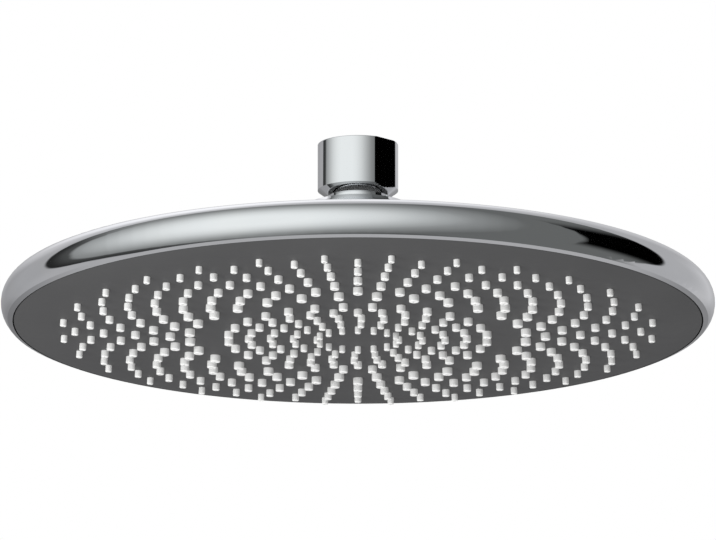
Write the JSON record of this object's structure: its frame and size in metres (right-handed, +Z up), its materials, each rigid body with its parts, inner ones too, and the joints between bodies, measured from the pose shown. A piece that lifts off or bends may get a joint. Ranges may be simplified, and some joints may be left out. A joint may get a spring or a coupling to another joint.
{
  "type": "rain shower head",
  "caption": "Round ceiling or arm mounted rain shower head: flat chromed cone shell with a rounded rim, domed grey spray face full of silicone nozzles, and a swivel nut on a ball joint.",
  "frame": {"origin": "middle of the inlet, on the top face of the connector nut", "axes": "+Z up along the inlet thread, out of its mouth; the spray leaves along -Z; -Y faces the camera of the picture"},
  "size_m": [0.2499, 0.25, 0.0718],
  "materials": {
    "chrome": "polished chrome plating, on brass for the nut and the stem and on moulded plastic for the shell",
    "grey_plastic": "moulded grey plastic, satin",
    "silicone": "pale silicone, soft satin",
    "black_plastic": "black moulded plastic",
    "white_plastic": "white slippery bearing plastic",
    "black_rubber": "black rubber",
    "grey_rubber": "grey sealing rubber",
    "brass": "turned brass",
    "steel": "stainless steel"
  },
  "bodies": {
    "connector": {"connector_nut": "chrome", "inlet_washer": "black_rubber", "strainer_screen": "steel", "seal_retainer": "brass"},
    "swivel": {"ball_seat": "white_plastic", "ball_seal": "black_rubber"},
    "head": {"ball_stem": "chrome", "stem_washer": "grey_rubber", "stem_o_ring": "black_rubber", "inlet_insert": "brass", "rear_shell": "chrome", "chamber_plate": "black_plastic", "flow_spreader": "black_plastic", "nozzle_mat": "silicone", "spray_face": "grey_plastic", "inner_screws": "steel", "outer_screws": "steel"}
  },
  "joints": [
    {"name": "head_spin", "type": "hinge", "parent": "connector", "child": "swivel", "pos_m": [0, 0, -0.0152], "axis": [0, 0, 1], "continuous": true},
    {"name": "head_tilt", "type": "hinge", "parent": "swivel", "child": "head", "pos_m": [0, 0, -0.0152], "axis": [1, 0, 0], "range_deg": [-10, 10]}
  ]
}
